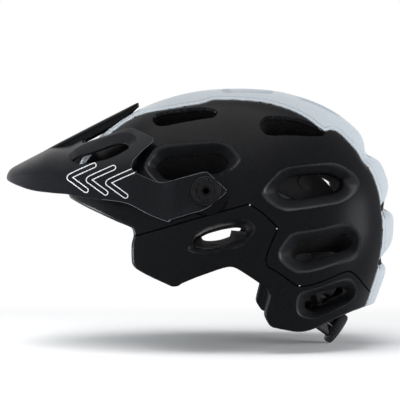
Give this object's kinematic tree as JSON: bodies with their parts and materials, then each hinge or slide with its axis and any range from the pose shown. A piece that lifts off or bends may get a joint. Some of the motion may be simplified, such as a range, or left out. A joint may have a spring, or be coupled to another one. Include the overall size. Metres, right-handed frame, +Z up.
{
  "type": "mountain bike helmet",
  "caption": "Open-face mountain bike helmet with a foam liner, moulded vented shells, a tilting visor on side knobs, a dial fit system, comfort pads and a buckled chin strap.",
  "frame": {"origin": "inside the head cavity, on the helmet's middle plane, about level with the ears' top", "axes": "-X to the front and the visor's tip, +X to the rear, -Y to the wearer's left, +Z up"},
  "size_m": [0.3264, 0.2088, 0.2153],
  "materials": {
    "foam": "matte",
    "grey_shell": "satin",
    "black_shell": "satin",
    "black_nylon": "matte",
    "brass_insert": "machined",
    "soft_washer": "matte",
    "visor_plastic": "satin",
    "steel": "plain",
    "white_acetal": "smooth",
    "dial_rubber": "matte",
    "pad_fabric": "knitted",
    "belt_nylon": "matte",
    "hook_tape": "hooked",
    "webbing": "woven"
  },
  "bodies": {
    "helmet": {"foam_liner": "foam", "crown_shell": "grey_shell", "upper_shell_left": "black_shell", "upper_shell_right": "black_shell", "lower_shell_left": "black_shell", "lower_shell_right": "black_shell", "pivot_seats": "black_nylon", "pivot_inserts": "brass_insert", "pivot_washers": "soft_washer", "temple_pins": "black_nylon", "brow_pad": "pad_fabric", "crown_pad": "pad_fabric", "side_pad_front_left": "pad_fabric", "side_pad_front_right": "pad_fabric", "side_pad_rear_left": "pad_fabric", "side_pad_rear_right": "pad_fabric", "pad_hooks": "hook_tape", "strap_anchors": "black_nylon", "front_strap_left": "webbing", "front_strap_right": "webbing", "rear_strap_left": "webbing", "rear_strap_right": "webbing", "divider_left": "black_nylon", "divider_right": "black_nylon", "chin_strap_left": "webbing", "chin_strap_right": "webbing", "chin_pad": "pad_fabric", "buckle_socket": "black_nylon", "buckle_plug": "black_nylon"},
    "visor": {"visor": "visor_plastic"},
    "knob_left": {"knob_left": "black_nylon", "knob_stud_left": "steel"},
    "knob_right": {"knob_right": "black_nylon", "knob_stud_right": "steel"},
    "cradle": {"cradle": "black_nylon", "dial_housing": "black_nylon", "dial_cover": "black_nylon", "cover_screws": "steel", "cradle_pad": "pad_fabric"},
    "dial": {"dial_pinion": "white_acetal", "dial_knob": "dial_rubber", "dial_screw": "steel"},
    "belt_left": {"belt_left": "belt_nylon"},
    "belt_right": {"belt_right": "belt_nylon"}
  },
  "joints": [
    {"name": "visor_tilt", "type": "hinge", "parent": "helmet", "child": "visor", "pos_m": [-0.0174, 0, 0.0368], "axis": [0, 1, 0], "range_deg": [0, 30]},
    {"name": "knob_left_turn", "type": "hinge", "parent": "helmet", "child": "knob_left", "pos_m": [-0.0174, -0.1, 0.0368], "axis": [0, 1, 0], "range_deg": [0, 180]},
    {"name": "knob_right_turn", "type": "hinge", "parent": "helmet", "child": "knob_right", "pos_m": [-0.0174, 0.1, 0.0368], "axis": [0, 1, 0], "range_deg": [-180, 0]},
    {"name": "cradle_tilt", "type": "hinge", "parent": "helmet", "child": "cradle", "pos_m": [-0.055, 0, 0.004], "axis": [0, 1, 0], "range_deg": [0, 6]},
    {"name": "dial_turn", "type": "hinge", "parent": "cradle", "child": "dial", "pos_m": [0.08065, 0, -0.07002], "axis": [0.8171, 0, -0.5764], "range_deg": [-12, 42]},
    {"name": "belt_left_slide", "type": "slide", "parent": "cradle", "child": "belt_left", "axis": [0, 1, 0], "range_m": [-0.001, 0.0035]},
    {"name": "belt_right_slide", "type": "slide", "parent": "cradle", "child": "belt_right", "axis": [0, 1, 0], "range_m": [-0.0036, 0.0011]}
  ],
  "couplings": [
    {"joint": "dial_turn", "follows": "belt_left_slide", "rad_per_m": 208.33},
    {"joint": "belt_right_slide", "follows": "belt_left_slide", "ratio": -1}
  ]
}
